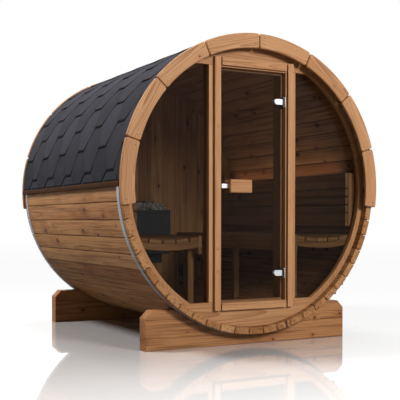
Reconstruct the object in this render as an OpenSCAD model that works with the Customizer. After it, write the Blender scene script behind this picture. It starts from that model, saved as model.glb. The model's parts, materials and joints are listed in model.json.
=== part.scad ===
// Barrel sauna on two cradles, with a glazed front wall and a hinged glass door.
// The barrel lies along Y. The front faces -Y, +Z is up, and the origin is on the
// ground, below the middle of the barrel. All sizes are in millimetres.

/* [Barrel] */
// Length over the front and rear trim rings
barrel_len = 2060; // [1800:10:2800]
// Radius to the flat outer faces of the staves
barrel_r = 1014; // [940:2:1210]
// Thickness of a stave
stave_t = 46; // [30:1:50]
// Number of staves in the full round
stave_count = 54; // [50:2:60]
// Joint left between two staves
stave_joint = 0.4; // [0.3:0.1:0.8]
// Space between the barrel and the ground
ground_gap = 74; // [50:1:120]

/* [Trim rings] */
// Thickness of a trim board
trim_t = 28; // [18:1:40]
// Radial width of a trim board
trim_w = 100; // [80:1:110]
// How far the trim stands out past the staves
trim_over = 16; // [12:1:30]
// Number of boards in one ring
trim_boards = 8; // [6:2:12]
// Angle from the top to each end of the ring
trim_end_angle = 98; // [95:0.5:105]
// Joint between two trim boards
trim_joint = 3; // [1:0.5:6]

/* [Roof and bands] */
// Thickness of the shingle roof
roof_t = 10; // [5:0.5:12]
// Radial thickness of an eave batten
eave_t = 19; // [16:1:34]
// Height of an eave batten
eave_h = 34; // [28:1:60]
// How much of that height is above the barrel's axis
eave_rise = 14; // [4:1:24]
// Width of a steel band
band_w = 38; // [15:1:45]
// Thickness of a steel band
band_t = 1.6; // [1:0.1:3]
// Distance from a stave's end to the near edge of its band
band_inset = 32; // [15:1:42]
// Angle of the band tensioners from the top
tensioner_angle = 135; // [125:1:139]

/* [Cradles] */
// Length of a cradle across the barrel
cradle_len = 1618; // [1400:2:1800]
// Thickness of a cradle
cradle_t = 89; // [60:1:120]
// Height of a cradle
cradle_h = 264; // [220:1:300]
// Size of the cut top corners
cradle_chamfer = 50; // [20:1:80]
// Distance from a trim ring's outer face to its cradle
cradle_inset = 110; // [95:1:400]

/* [Front wall] */
// Recess of the front wall behind the stave ends
wall_recess = 51; // [20:1:60]
// Thickness of the end walls
wall_t = 45; // [40:1:70]
// Radial width of the curved rims beside the windows
rim_w = 40; // [30:1:60]
// Width of the posts between door frame and windows
post_w = 34; // [25:1:60]
// Height of the windows' lower edges
window_low = 300; // [270:1:400]
// Height of the windows' upper edges
window_high = 1893; // [1600:1:1900]
// Thickness of a window pane
pane_t = 8; // [6:1:8]
// Depth of the groove that holds a pane
pane_groove = 10; // [5:1:15]

/* [Door] */
// Clear width of the door opening
door_w = 526; // [500:2:640]
// Height of the opening's lower edge
door_low = 295; // [260:1:330]
// Height of the opening's upper edge
door_high = 1884; // [1700:1:1900]
// Width of the frame's side members
jamb_w = 55; // [38:1:70]
// Height of the frame's top member
door_head_h = 64; // [30:1:70]
// Height of the frame's bottom member
door_sill_h = 49; // [30:1:70]
// How far the frame stands out of the wall
frame_proud = 25; // [10:1:35]
// Depth of the frame, front to back
frame_d = 168; // [80:1:200]
// Thickness of the door glass
glass_t = 8; // [6:1:10]
// Set-back of the glass behind the frame's front face
glass_setback = 42; // [38:1:60]
// Gap between the glass and the frame
door_gap = 6; // [5.5:0.5:10]
// Width of the stop that the closed door meets
stop_w = 15; // [12:1:25]
// Depth of the stop
stop_d = 10; // [6:1:12]
// Gap between the closed glass and the stop
stop_gap = 7; // [6:0.5:10]

/* [Door hardware] */
// Height of the lower hinge
hinge_low = 484; // [400:1:650]
// Height of the upper hinge
hinge_high = 1681; // [1400:1:1700]
// Height of a hinge body
hinge_h = 44; // [30:1:60]
// Distance from a hinge's pin to the far end of its body
hinge_reach = 73; // [50:1:90]
// Radius of the hinge pin
pin_r = 3; // [2:0.5:4]
// Width of the wooden handle
handle_w = 172; // [120:1:200]
// Height of the wooden handle
handle_h = 90; // [60:1:120]
// Thickness of the wooden handle
handle_t = 30; // [20:1:40]
// Height of the handle's middle
handle_z = 1086; // [950:1:1150]
// Space between handle and glass
handle_standoff = 20; // [15:1:30]
// Height of the metal bracket behind the handle
bracket_h = 31; // [20:1:60]

/* [Benches] */
// Distance from the middle of the aisle to a bench
aisle_half = 380; // [330:1:420]
// Height of the bench's edges
bench_top = 750; // [700:1:800]
// How much lower the middle of the seat lies
bench_dip = 25; // [5:1:35]
// Distance from the middle of the aisle to the far edge of the seat
bench_out = 866; // [840:1:880]
// Width of a seat slat
slat_w = 90; // [70:1:100]
// Gap between two seat slats
slat_gap = 9; // [6:1:15]
// Number of slats in one seat
slat_count = 5; // [4:1:5]
// Thickness of a seat slat
slat_t = 26; // [18:1:32]
// Height of the board along the front of a bench
apron_h = 123; // [90:1:160]
// Thickness of the board along the front of a bench
apron_t = 26; // [18:1:32]
// Depth of the curved bearers under the slats
bearer_h = 45; // [35:1:60]
// Thickness of the curved bearers
bearer_t = 26; // [20:1:40]
// Side of a square leg
leg_w = 45; // [35:1:60]
// Distance from the front wall to the middle of the first leg
leg_inset = 90; // [70:1:200]
// Distance from the front wall to the middle of the second leg
leg_second = 880; // [700:10:1000]

/* [Backrests] */
// Distance from the middle of the aisle to a backrest
backrest_x = 852; // [845:1:862]
// Height of the backrest's upper edge
backrest_top = 1205; // [1180:1:1230]
// Height of the top board
backrest_top_h = 110; // [80:1:115]
// Height of the bottom board
backrest_low_h = 95; // [80:1:110]
// Height of each slat between them
backrest_slat_h = 50; // [40:1:52]
// Gap between the boards
backrest_gap = 10; // [5:1:12]
// Number of slats between the top and bottom boards
backrest_slats = 3; // [2:1:3]
// Thickness of the boards
backrest_t = 22; // [15:1:26]
// Thickness of the supports along the barrel
support_t = 40; // [25:1:60]

/* [Heater and vent] */
// Width of the heater
heater_w = 400; // [300:5:450]
// Depth of the heater
heater_d = 228; // [180:1:260]
// Height of the heater's lower edge
heater_low = 560; // [480:5:620]
// Height of the heater's upper edge
heater_high = 945; // [880:5:1000]
// Width of the control box under the heater
box_w = 296; // [200:2:360]
// Height of the control box
box_h = 80; // [50:1:120]
// Height of the heap of stones over the heater's rim
stones_h = 60; // [30:1:90]
// Radius of the round vent
vent_r = 62; // [58:1:75]
// Radius of the vent's duct through the wall
duct_r = 50; // [30:1:55]
// Sideways place of the vent
vent_x = 454; // [380:1:520]
// Height of the vent's middle
vent_z = 395; // [380:1:440]

/* [Hidden] */
$fn = 240;

seat = 0.3;                                    // gap at which one piece rests on another
axis_z = barrel_r + ground_gap;                // height of the barrel's axis
front_y = -barrel_len / 2;                     // outer face of the front trim
rear_y = barrel_len / 2;
stave_front = front_y + trim_t + seat;
stave_rear = rear_y - trim_t - seat;
stave_len = stave_rear - stave_front;
stave_step = 360 / stave_count;
stave_corner = barrel_r / cos(stave_step / 2); // radius to the staves' outer edges
inner_r = barrel_r - stave_t;                  // radius to the staves' inner faces
lining_r = inner_r - seat;                     // what stands against the staves inside
trim_out = barrel_r + trim_over;
trim_in = trim_out - trim_w;
band_in = stave_corner + seat;
band_out = band_in + band_t;
roof_in = band_out + seat;
roof_out = roof_in + roof_t;
roof_end = 90 - asin(eave_rise / roof_in);      // angle from the top to the roof's edge
eave_end = 90 + asin((eave_h - eave_rise) / roof_in);
band_front_y = stave_front + band_inset;
band_rear_y = stave_rear - band_inset - band_w;
cradle_front_y = front_y + cradle_inset;
cradle_rear_y = rear_y - cradle_inset - cradle_t;

wall_front = stave_front + wall_recess;        // front face of the front wall
wall_back = wall_front + wall_t;
rear_wall_out = stave_rear - wall_recess;
rear_wall_in = rear_wall_out - wall_t;
cabin_len = rear_wall_in - wall_back;
window_r = lining_r - rim_w;
jamb_out = door_w / 2 + jamb_w;                // half width over the door frame
post_in = jamb_out + seat;
post_out = post_in + post_w;
frame_low = door_low - door_sill_h;
frame_high = door_high + door_head_h;
frame_front = wall_front - frame_proud;
frame_back = frame_front + frame_d;
glass_front = frame_front + glass_setback;
glass_back = glass_front + glass_t;
pane_front = wall_front + (wall_t + pane_t) / 2;
glass_half = door_w / 2 - door_gap;
stop_front = glass_back + stop_gap;

hinge_plate_t = 5;
hinge_pin_y = glass_front - 12;                // the pin stands in front of the glass
hinge_pin_x = door_w / 2 - hinge_plate_t - 10;
knuckle_r = 9;
body_front = hinge_pin_y;
plate_low = hinge_h / 2 + 15.5;                // half height of a hinge plate
lug_gap = 0.5;
pin_play = 0.05;
clamp_t = 6;

bench_in = aisle_half + apron_t + seat;        // back of the front board
bench_half = (bench_out - aisle_half) / 2;
bench_mid = aisle_half + bench_half;
seat_arc = (bench_half * bench_half + bench_dip * bench_dip) / (2 * bench_dip);
seat_arc_z = bench_top - bench_dip + seat_arc;
slat_in = bench_in + slat_t * bench_half / seat_arc; // the slats tilt towards the front board
bearer_arc = norm([seat_arc + slat_t, slat_w / 2]) + seat;
bench_front = (aisle_half > jamb_out ? wall_back : frame_back) + seat; // clear of the door frame
bench_rear = rear_wall_in - seat;
bench_len = bench_rear - bench_front;
leg_places = [leg_inset, leg_second, cabin_len - leg_inset];
bearer_places = [0, bench_len / 2, bench_len - bearer_t];
slat_places = [for (k = [0 : slat_count - 1])
  let (far = bench_out - k * (slat_w + slat_gap), near = max(far - slat_w, slat_in))
  [near, far]];

backrest_step = backrest_slat_h + backrest_gap;
backrest_low = backrest_top - backrest_top_h - backrest_slats * backrest_step
  - backrest_gap - backrest_low_h;
backrest_boards = concat(
  [[backrest_top - backrest_top_h, backrest_top_h]],
  [for (k = [1 : backrest_slats])
    [backrest_top - backrest_top_h - k * backrest_step, backrest_slat_h]],
  [[backrest_low, backrest_low_h]]);
support_places = [10, cabin_len / 2, cabin_len - support_t - 10];

wood = "peru";
pale_wood = "burlywood";
dark_wood = "saddlebrown";
steel = "silver";

// A part of a ring round the barrel's axis. Angles run from the top, clockwise
// as seen from the front.
module ring_part(r_in, r_out, y, len, from, to) {
  translate([0, y, axis_z]) rotate([-90, 0, 0]) rotate([0, 0, from - 90])
    rotate_extrude(angle = to - from) translate([r_in, 0]) square([r_out - r_in, len]);
}

module full_ring(r_in, r_out, y, len) {
  translate([0, y, axis_z]) rotate([-90, 0, 0]) difference() {
    cylinder(r = r_out, h = len);
    translate([0, 0, -1]) cylinder(r = r_in, h = len + 2);
  }
}

// Stands an outline, drawn with x and height, upright from y to y + t.
module upright(y, t) {
  translate([0, y + t, 0]) rotate([90, 0, 0]) linear_extrude(t) children();
}

module disc(r) {
  translate([0, axis_z]) circle(r);
}

module block(x, y, z) {
  translate([x[0], y[0], z[0]]) cube([x[1] - x[0], y[1] - y[0], z[1] - z[0]]);
}

module flip(side) {
  if (side < 0) mirror([1, 0, 0]) children();
  else children();
}

// One stave, with k steps counted from the bottom of the barrel.
module stave(k) {
  inner = inner_r * tan(stave_step / 2) - stave_joint / 2;
  outer = barrel_r * tan(stave_step / 2) - stave_joint / 2;
  translate([0, stave_front, axis_z]) rotate([-90, 0, 0])
    rotate([0, 0, 90 + k * stave_step]) linear_extrude(stave_len)
      polygon([[inner_r, -inner], [barrel_r, -outer], [barrel_r, outer], [inner_r, inner]]);
}

module staves(first, last) {
  color(wood) for (k = [first : last]) stave(k);
}

module trim_ring(y) {
  step = 2 * trim_end_angle / trim_boards;
  cut = asin(trim_joint / 2 / trim_out);
  color(pale_wood) for (k = [0 : trim_boards - 1])
    ring_part(trim_in, trim_out, y, trim_t,
      -trim_end_angle + k * step + cut, -trim_end_angle + (k + 1) * step - cut);
}

module roof_shingles(side) {
  parts = 3;
  step = roof_end / parts;
  cut = asin(seat / 2 / roof_in);
  color("dimgray") for (k = [0 : parts - 1]) difference() {
    ring_part(stave_corner + seat, roof_out, stave_front, stave_len,
      side < 0 ? -(k + 1) * step + cut : k * step + cut,
      side < 0 ? -k * step - cut : (k + 1) * step - cut);
    for (y = [band_front_y, band_rear_y])
      full_ring(band_in - 1, roof_in, y - seat, band_w + 2 * seat);
  }
}

module eave(side) {
  cut = asin(seat / roof_in);
  color(dark_wood) flip(side)
    ring_part(roof_in, barrel_r + eave_t + 2, stave_front, stave_len, roof_end + cut, eave_end);
}

module band(y) {
  color(steel) full_ring(band_in, band_out, y, band_w);
}

// Two bolted lugs that pull the ends of a band together.
module tensioner(y) {
  lug = [24, 12];
  reach = 90;
  translate([0, y + band_w / 2, axis_z]) rotate([0, tensioner_angle - 90, 0]) {
    for (turn = [-1, 1] * asin(reach / 2 / band_out)) rotate([0, turn, 0])
      translate([band_out + seat, -band_w / 2, -lug[1] / 2]) cube([lug[0], band_w, lug[1]]);
    translate([band_out + seat + 15, 0, -reach / 2 - 24]) cylinder(r = 4, h = reach + 48);
    for (z = [-reach / 2 - 14, reach / 2 + 6])
      translate([band_out + seat + 15, 0, z]) cylinder(r = 7, h = 8, $fn = 6);
  }
}

module band_tensioners() {
  color("darkslategray") for (y = [band_front_y, band_rear_y]) tensioner(y);
}

module cradle(y) {
  half = cradle_len / 2;
  color(wood) upright(y, cradle_t) difference() {
    polygon([[-half, 0], [half, 0], [half, cradle_h - cradle_chamfer],
      [half - cradle_chamfer, cradle_h], [-half + cradle_chamfer, cradle_h],
      [-half, cradle_h - cradle_chamfer]]);
    disc(stave_corner + seat);
  }
}

// Outline of a window on the right-hand side, let out all round by grow.
module window_outline(grow) {
  intersection() {
    disc(window_r + grow);
    translate([post_out - grow, window_low - grow])
      square([window_r, window_high - window_low + 2 * grow]);
  }
}

// The groove that a pane stands in.
module pane_slot() {
  for (side = [-1, 1]) flip(side)
    upright(pane_front - seat, pane_t + 2 * seat) window_outline(pane_groove + seat);
}

module head_panel() {
  color(wood) difference() {
    upright(wall_front, wall_t) difference() {
      disc(lining_r);
      translate([-barrel_r, 0]) square([2 * barrel_r, window_high]);
      translate([-post_in, 0]) square([2 * post_in, frame_high + seat]);
    }
    pane_slot();
  }
}

module sill_panel() {
  color(wood) difference() {
    upright(wall_front, wall_t) difference() {
      disc(lining_r);
      translate([-barrel_r, window_low]) square([2 * barrel_r, 2 * barrel_r]);
      translate([-post_in, frame_low - seat]) square([2 * post_in, barrel_r]);
    }
    pane_slot();
  }
}

module rim(side) {
  color(wood) difference() {
    flip(side) upright(wall_front, wall_t) intersection() {
      difference() {
        disc(lining_r);
        disc(window_r);
      }
      translate([post_out, window_low + seat])
        square([barrel_r, window_high - window_low - 2 * seat]);
    }
    pane_slot();
  }
}

module post(side) {
  color(wood) difference() {
    flip(side) block([post_in, post_out], [wall_front, wall_back],
      [window_low + seat, window_high - seat]);
    pane_slot();
  }
}

module window(side) {
  color("dimgray", 0.5) flip(side) upright(pane_front, pane_t) window_outline(pane_groove);
}

module door_jamb(side) {
  color(pale_wood) flip(side)
    block([door_w / 2, jamb_out], [frame_front, frame_back], [frame_low, frame_high]);
}

module door_rail(low, high) {
  color(pale_wood) block([-door_w / 2 + seat, door_w / 2 - seat],
    [frame_front, frame_back], [low, high]);
}

// Thin strips inside the frame, which the closed glass comes up to.
module door_stops() {
  edge = door_w / 2 - seat;
  y = [stop_front, stop_front + stop_d];
  color(pale_wood) {
    for (side = [-1, 1]) flip(side) block([edge - stop_w, edge], y, [door_low + seat, door_high - seat]);
    block([-edge + stop_w + seat, edge - stop_w - seat], y, [door_high - stop_w, door_high - seat]);
    block([-edge + stop_w + seat, edge - stop_w - seat], y, [door_low + seat, door_low + stop_w]);
  }
}

module hinge_plate(z) {
  edge = door_w / 2 - seat;
  translate([0, 0, z]) {
    block([edge - hinge_plate_t, edge],
      [hinge_pin_y - 12, hinge_pin_y + 7], [-plate_low, plate_low]);
    for (low = [-plate_low, hinge_h / 2 + lug_gap]) translate([hinge_pin_x, hinge_pin_y, low]) {
      cylinder(r = knuckle_r, h = plate_low - hinge_h / 2 - lug_gap);
      translate([0, -knuckle_r, 0])
        cube([edge - hinge_plate_t - hinge_pin_x + 1, 2 * knuckle_r, plate_low - hinge_h / 2 - lug_gap]);
    }
    translate([hinge_pin_x, hinge_pin_y, -plate_low]) cylinder(r = pin_r, h = 2 * plate_low);
  }
}

module hinge_plates() {
  color(steel) for (z = [hinge_low, hinge_high]) hinge_plate(z);
}

// The half of a hinge that clamps the glass, bored for the pin.
module hinge_body(z) {
  near = hinge_pin_x - hinge_reach;
  round = hinge_h / 2;
  translate([0, 0, z]) {
    difference() {
      union() {
        translate([hinge_pin_x, hinge_pin_y, -round]) cylinder(r = knuckle_r, h = hinge_h);
        block([near + round, hinge_pin_x], [body_front - 4, glass_front - seat], [-round, round]);
        translate([near + round, glass_front - seat, 0]) rotate([90, 0, 0])
          cylinder(r = round, h = glass_front - seat - body_front + 4);
      }
      translate([hinge_pin_x, hinge_pin_y, -round - 1])
        cylinder(r = pin_r + pin_play, h = hinge_h + 2);
    }
    translate([near + round, glass_back + seat + clamp_t, 0]) rotate([90, 0, 0])
      cylinder(r = round - 2, h = clamp_t);
  }
}

module door_hinges() {
  color(steel) for (z = [hinge_low, hinge_high]) hinge_body(z);
}

module door_glass() {
  color("dimgray", 0.5) block([-glass_half, glass_half], [glass_front, glass_back],
    [door_low + door_gap, door_high - door_gap]);
}

handle_x = -glass_half + 56;                   // left edge of the wooden handle

// A wooden grip on each side of the glass.
module door_handle() {
  x = [handle_x, handle_x + handle_w];
  z = [handle_z - handle_h / 2, handle_z + handle_h / 2];
  color(pale_wood) {
    block(x, [glass_front - handle_standoff - handle_t, glass_front - handle_standoff], z);
    block(x, [glass_back + handle_standoff, glass_back + handle_standoff + handle_t], z);
  }
}

// Metal blocks between the glass and the grips, out to the edge of the glass.
module handle_bracket() {
  x = [-glass_half + 2, handle_x + handle_w / 2];
  z = [handle_z - bracket_h / 2, handle_z + bracket_h / 2];
  color(steel) {
    block(x, [glass_front - handle_standoff + seat, glass_front - seat], z);
    block([handle_x + 10, x[1]], [glass_back + seat, glass_back + handle_standoff - seat], z);
  }
}

module rear_wall() {
  color(wood) difference() {
    upright(rear_wall_in, wall_t) disc(lining_r);
    translate([vent_x, rear_wall_in - 1, vent_z]) rotate([-90, 0, 0])
      cylinder(r = duct_r + seat, h = wall_t + 2);
  }
}

module vent() {
  flange = 8;
  color("dimgray") translate([vent_x, rear_wall_in, vent_z]) rotate([-90, 0, 0]) {
    translate([0, 0, -flange - seat]) cylinder(r = vent_r, h = flange);
    translate([0, 0, -flange / 2]) cylinder(r = duct_r, h = wall_t + flange);
    translate([0, 0, wall_t + seat]) cylinder(r = vent_r, h = flange);
  }
}

module bench_slats(side) {
  color(wood) flip(side) for (place = slat_places) {
    mid = (place[0] + place[1]) / 2;
    turn = asin((mid - bench_mid) / seat_arc);
    translate([bench_mid, bench_front, seat_arc_z]) rotate([0, -turn, 0])
      translate([-(place[1] - place[0]) / 2, 0, -seat_arc - slat_t])
        cube([place[1] - place[0], bench_rear - bench_front, slat_t]);
  }
}

// Outline of what lies under the slats: clear of them and of the staves.
module under_seat(x, low, high) {
  difference() {
    intersection() {
      disc(lining_r);
      translate([x[0], low]) square([x[1] - x[0], high - low]);
    }
    translate([bench_mid, seat_arc_z]) circle(bearer_arc);
  }
}

module bench_frame(side) {
  color(wood) flip(side) {
    block([aisle_half, aisle_half + apron_t], [bench_front, bench_rear],
      [bench_top - apron_h, bench_top]);
    for (y = bearer_places) upright(bench_front + y, bearer_t) intersection() {
      under_seat([bench_in, barrel_r], bench_top - 4 * bearer_h, bench_top);
      translate([bench_mid, seat_arc_z]) circle(bearer_arc + bearer_h);
    }
    for (y = leg_places) upright(wall_back + y - leg_w / 2, leg_w)
      under_seat([bench_in, bench_in + leg_w], 0, bench_top);
  }
}

module backrest_boards(side) {
  color(wood) flip(side) for (board = backrest_boards)
    block([backrest_x, backrest_x + backrest_t],
      [wall_back + support_places[0] + 5, rear_wall_in - support_places[0] - 5],
      [board[0], board[0] + board[1]]);
}

module backrest_supports(side) {
  color(pale_wood) flip(side) for (y = support_places) upright(wall_back + y, support_t)
    intersection() {
      disc(lining_r);
      translate([backrest_x + backrest_t + seat, backrest_low])
        square([barrel_r, backrest_top - backrest_low]);
    }
}

module heater() {
  back = rear_wall_in - seat;
  rim = 12;
  tray = 30;
  color("dimgray") difference() {
    union() {
      block([-heater_w / 2, heater_w / 2], [back - heater_d, back], [heater_low, heater_high]);
      block([-box_w / 2, box_w / 2], [back - heater_d * 0.7, back], [heater_low - box_h, heater_low]);
      upright(back - rim, rim) polygon([[-heater_w / 2, heater_high], [heater_w / 2, heater_high],
        [heater_w / 2 - 70, heater_high + stones_h + 20], [-heater_w / 2 + 70, heater_high + stones_h + 20]]);
    }
    block([-heater_w / 2 + rim, heater_w / 2 - rim], [back - heater_d + rim, back - rim],
      [heater_high - tray, heater_high + 1]);
  }
}

// A heap of stones in the heater's tray.
module heater_stones() {
  back = rear_wall_in - seat;
  rim = 12 + seat;
  tray = 30 - seat;
  y = [back - heater_d + rim, back - rim];
  color("gray") difference() {
    block([-heater_w / 2 + rim, heater_w / 2 - rim], y,
      [heater_high - tray, heater_high + stones_h]);
    for (side = [-1, 1]) flip(side) translate([heater_w / 2 - rim, 0, heater_high])
      rotate([0, -45, 0]) translate([0, y[0] - 1, 0]) cube([heater_w, y[1] - y[0] + 2, heater_w]);
    translate([-heater_w / 2, y[0], heater_high]) rotate([45, 0, 0])
      translate([0, -heater_w, 0]) cube([heater_w, heater_w, heater_w]);
  }
}

side_k = 3;                                    // staves each side of the lowest one in the floor
group = 6;                                     // staves in each group above the floor

staves(-side_k, side_k);  // floor_staves
staves(side_k + 1, side_k + group);  // lower_staves_left
staves(-side_k - group, -side_k - 1);  // lower_staves_right
staves(side_k + group + 1, side_k + 2 * group);  // side_staves_left
staves(-side_k - 2 * group, -side_k - group - 1);  // side_staves_right
staves(side_k + 2 * group + 1, side_k + 3 * group);  // upper_staves_left
staves(-side_k - 3 * group, -side_k - 2 * group - 1);  // upper_staves_right
staves(side_k + 3 * group + 1, stave_count - side_k - 3 * group - 1);  // roof_staves
trim_ring(front_y);  // trim_front
trim_ring(rear_y - trim_t);  // trim_rear
roof_shingles(-1);  // roof_shingles_left
roof_shingles(1);  // roof_shingles_right
eave(-1);  // eave_left
eave(1);  // eave_right
band(band_front_y);  // band_front
band(band_rear_y);  // band_rear
band_tensioners();
cradle(cradle_front_y);  // cradle_front
cradle(cradle_rear_y);  // cradle_rear
head_panel();
sill_panel();
rim(-1);  // rim_left
rim(1);  // rim_right
post(-1);  // post_left
post(1);  // post_right
window(-1);  // window_left
window(1);  // window_right
door_jamb(-1);  // door_jamb_left
door_jamb(1);  // door_jamb_right
door_rail(door_high, frame_high);  // door_head
door_rail(frame_low, door_low);  // door_sill
door_stops();
hinge_plates();
door_glass();
door_hinges();
door_handle();
handle_bracket();
rear_wall();
vent();
bench_slats(-1);  // bench_slats_left
bench_slats(1);  // bench_slats_right
bench_frame(-1);  // bench_frame_left
bench_frame(1);  // bench_frame_right
backrest_boards(-1);  // backrest_boards_left
backrest_boards(1);  // backrest_boards_right
backrest_supports(-1);  // backrest_supports_left
backrest_supports(1);  // backrest_supports_right
heater();
heater_stones();
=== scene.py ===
import json
import math

import bpy
import bmesh
import numpy as np
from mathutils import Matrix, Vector


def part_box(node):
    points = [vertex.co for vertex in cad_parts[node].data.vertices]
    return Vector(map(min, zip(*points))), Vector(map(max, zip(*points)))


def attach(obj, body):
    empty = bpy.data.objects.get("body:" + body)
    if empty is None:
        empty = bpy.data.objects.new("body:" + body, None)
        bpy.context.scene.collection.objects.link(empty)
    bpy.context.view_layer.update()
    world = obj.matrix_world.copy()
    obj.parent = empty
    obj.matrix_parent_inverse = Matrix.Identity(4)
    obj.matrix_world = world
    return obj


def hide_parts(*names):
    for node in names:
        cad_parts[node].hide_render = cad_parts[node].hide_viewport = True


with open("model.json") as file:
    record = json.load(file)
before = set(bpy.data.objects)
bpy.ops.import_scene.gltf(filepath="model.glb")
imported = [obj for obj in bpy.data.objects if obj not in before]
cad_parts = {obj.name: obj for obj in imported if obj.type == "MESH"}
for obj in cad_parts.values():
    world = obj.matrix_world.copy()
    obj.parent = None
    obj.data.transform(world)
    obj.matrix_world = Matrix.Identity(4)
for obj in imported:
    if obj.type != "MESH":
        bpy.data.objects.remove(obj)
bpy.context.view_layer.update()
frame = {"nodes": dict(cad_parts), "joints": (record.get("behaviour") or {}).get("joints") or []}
nodes = frame["nodes"]
seeds = np.random.default_rng(7)
print("frame loaded:", len(nodes), "nodes")


def span(node):  # lowest and highest corner of a node
    low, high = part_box(node)
    return np.array(low), np.array(high)


# Sizes that several pieces share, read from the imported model.
seat = 0.0003   # gap at which one piece rests on another
wallLow, wallHigh = span("rear_wall")
axisZ = (wallLow[2] + wallHigh[2]) / 2          # height of the barrel's axis
liningRadius = (wallHigh[0] - wallLow[0]) / 2   # what stands against the staves inside
bandLow, bandHigh = span("band_front")
bandRadius = (bandHigh[0] - bandLow[0]) / 2
staveLow, staveHigh = span("floor_staves")
staveFront, staveRear = staveLow[1], staveHigh[1]
staveInner = liningRadius + seat
staveOuter = axisZ - staveLow[2]
staveCount = 54
staveStep = 2 * math.pi / staveCount


# Mesh helpers. An outline is a ring of points (a, b); a board is that outline carried along c.

def arc(centre, radius, start, end, steps):
    # points at centre + radius * (cos t, sin t), t from start to end
    t = np.linspace(start, end, steps)
    return np.stack([centre[0] + radius * np.cos(t), centre[1] + radius * np.sin(t)], -1)


def roundedBox(low, high, radius, steps=4):
    # a rectangle whose four corners are quarter circles
    quarter = math.pi / 2
    corners = [(high[0] - radius, high[1] - radius, 0), (low[0] + radius, high[1] - radius, 1),
               (low[0] + radius, low[1] + radius, 2), (high[0] - radius, low[1] + radius, 3)]
    return np.concatenate([arc((a, b), radius, k * quarter, (k + 1) * quarter, steps)
                           for a, b, k in corners])


def drawIn(outline, by):
    # each corner moves along the mitre of its two edges, so every edge moves in by the same amount
    after = np.roll(outline, -1, 0) - outline
    after /= np.maximum(np.linalg.norm(after, axis=1, keepdims=True), 1e-9)
    normal = np.stack([after[:, 1], -after[:, 0]], -1)
    before = np.roll(normal, 1, 0)
    mitre = (normal + before) / np.maximum(1 + (normal * before).sum(1, keepdims=True), 0.3)
    return outline - by * mitre


def squares(first, second):
    # a square from each point of one ring to the next point and to the same two of the other ring
    ahead, beyond = np.roll(first, -1, 1), np.roll(second, -1, 1)
    return np.stack([first, ahead, beyond, second], -1).reshape(-1, 4).tolist()


def tube(points):
    # rings of points joined by squares, with the first and the last ring closed by a face
    index = np.arange(points.shape[0] * points.shape[1]).reshape(points.shape[:2])
    ends = [index[0][::-1].tolist(), index[-1].tolist()]
    return points.reshape(-1, 3), squares(index[:-1], index[1:]) + ends


def board(outline, ends, ease):
    # four copies of the outline along c, the end ones drawn in by the eased edge
    area = np.sum(outline[:, 0] * np.roll(outline[:, 1], -1) - outline[:, 1] * np.roll(outline[:, 0], -1))
    outline = outline if area > 0 else outline[::-1]
    rings = [(ease, ends[0]), (0, ends[0] + ease), (0, ends[1] - ease), (ease, ends[1])]
    return tube(np.stack([np.column_stack([drawIn(outline, by), np.full(len(outline), c)])
                          for by, c in rings]))


def pile():  # boards waiting to become one mesh
    return {"points": [], "faces": [], "grain": [], "tone": [], "count": 0}


def lay(heap, shape, axes, origin=(0, 0, 0), grain=(0, 1, 2), tone=None):
    # world point = origin + a * axes[0] + b * axes[1] + c * axes[2]; grain picks which of
    # a, b and c runs along the fibres, across them and through the board
    points, faces = shape
    along, across, through = (points[:, k] for k in grain)
    middle = [(v.max() + v.min()) / 2 for v in (across, through)]
    shift = seeds.uniform((0, -0.05, 0.02), (40, 0.05, 0.12))
    heap["points"].append(points @ np.array(axes, float) + np.array(origin, float))
    heap["grain"].append(np.stack([along, across - middle[0], through - middle[1]], -1) + shift)
    heap["tone"].append(np.broadcast_to(seeds.uniform() if tone is None else tone, len(points)))
    heap["faces"] += [[k + heap["count"] for k in face] for face in faces]
    heap["count"] += len(points)


def build(name, heap, finish, slot, *replaced, body="barrel", sharp=40):
    # one mesh from the heap, with its normals outwards and its creases kept, riding on its body
    mesh = bpy.data.meshes.new(name)
    mesh.from_pydata(np.concatenate(heap["points"]).tolist(), [], heap["faces"])
    grain = mesh.attributes.new("grain", "FLOAT_VECTOR", "POINT")
    grain.data.foreach_set("vector", np.concatenate(heap["grain"]).astype(np.float32).ravel())
    tone = mesh.attributes.new("tone", "FLOAT", "POINT")
    tone.data.foreach_set("value", np.concatenate(heap["tone"]).astype(np.float32))
    edit = bmesh.new()
    edit.from_mesh(mesh)
    bmesh.ops.recalc_face_normals(edit, faces=edit.faces)
    edit.to_mesh(mesh)
    edit.free()
    mesh.polygons.foreach_set("use_smooth", [True] * len(mesh.polygons))
    mesh.set_sharp_from_angle(angle=math.radians(sharp))
    mesh.materials.append(finish)
    piece = bpy.data.objects.new(name, mesh)
    bpy.context.scene.collection.objects.link(piece)
    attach(piece, body)
    if replaced:
        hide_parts(*replaced)


xAxis, yAxis, zAxis = np.eye(3)
sides = ((-1, "left"), (1, "right"))


def along(direction, heap, low, high, radius=0.003, ease=0.002):
    # a straight board from its box, with its fibres along x, y or z
    c = "xyz".index(direction)
    a, b = [k for k in range(3) if k != c]
    shape = board(roundedBox((low[a], low[b]), (high[a], high[b]), radius), (low[c], high[c]), ease)
    lay(heap, shape, np.eye(3)[[a, b, c]], grain=(2, 1, 0) if direction == "x" else (2, 0, 1))


def upright(heap, outline, ends, ease=0.003, grain=(0, 1, 2)):
    # an outline drawn with x and z, given thickness along y
    lay(heap, board(outline, ends, ease), [xAxis, zAxis, yAxis], grain=grain)


def turned(profile, steps=24):
    # surface of revolution: profile points (radius, height) carried round the c axis
    turn = np.linspace(0, 2 * math.pi, steps, endpoint=False)
    radius, height = np.array(profile, float).T[..., None]
    return tube(np.stack([radius * np.cos(turn), radius * np.sin(turn), height + 0 * turn], -1))


def spokes(turn):
    # unit vectors at an angle from the top, clockwise from the front: outwards, and along the turn
    return (np.array([math.sin(turn), 0, math.cos(turn)]),
            np.array([math.cos(turn), 0, -math.sin(turn)]))


# Shader helpers. A Value wraps a socket, and sums on it become Math nodes.

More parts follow.
